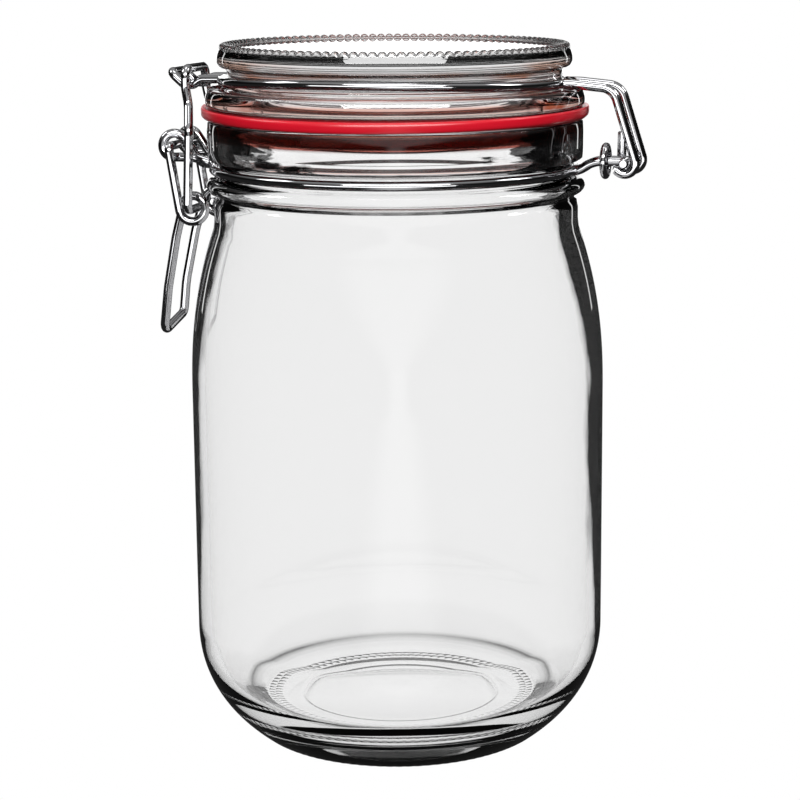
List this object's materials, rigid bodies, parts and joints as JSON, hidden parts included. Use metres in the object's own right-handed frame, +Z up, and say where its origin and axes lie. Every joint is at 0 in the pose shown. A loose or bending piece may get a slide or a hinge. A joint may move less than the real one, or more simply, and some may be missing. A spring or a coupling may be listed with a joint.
{
  "type": "clip top storage jar",
  "caption": "Empty clear glass preserving jar with a hinged glass lid, red rubber gasket and sprung wire clip closure.",
  "frame": {"origin": "centre of the base, on the surface the jar stands on", "axes": "+Z up along the jar's axis, -X towards the clip, +X towards the hinge"},
  "size_m": [0.1283, 0.1074, 0.181],
  "materials": {
    "clear_glass": "clear, smooth, fire polished",
    "red_rubber": "smooth satin",
    "steel_wire": "bright drawn wire"
  },
  "bodies": {
    "jar": {"jar_glass": "clear_glass", "neck_wire": "steel_wire", "neck_wire_collar": "steel_wire"},
    "lid": {"lid_glass": "clear_glass", "gasket": "red_rubber", "lid_wire": "steel_wire"},
    "lever": {"lever_wire": "steel_wire"},
    "link": {"link_wire": "steel_wire"}
  },
  "joints": [
    {"name": "lid_hinge", "type": "hinge", "parent": "jar", "child": "lid", "pos_m": [0.0607, 0, 0.1519], "axis": [0, 1, 0], "range_deg": [0, 110]},
    {"name": "lever_pivot", "type": "hinge", "parent": "jar", "child": "lever", "pos_m": [-0.0584, 0, 0.1541], "axis": [0, 1, 0], "range_deg": [0, 110]},
    {"name": "link_pivot", "type": "hinge", "parent": "lever", "child": "link", "pos_m": [-0.0525, 0, 0.1379], "axis": [0, 1, 0], "range_deg": [-60, 0]}
  ],
  "couplings": [
    {"joint": "link_pivot", "follows": "lever_pivot", "ratio": -0.533}
  ]
}
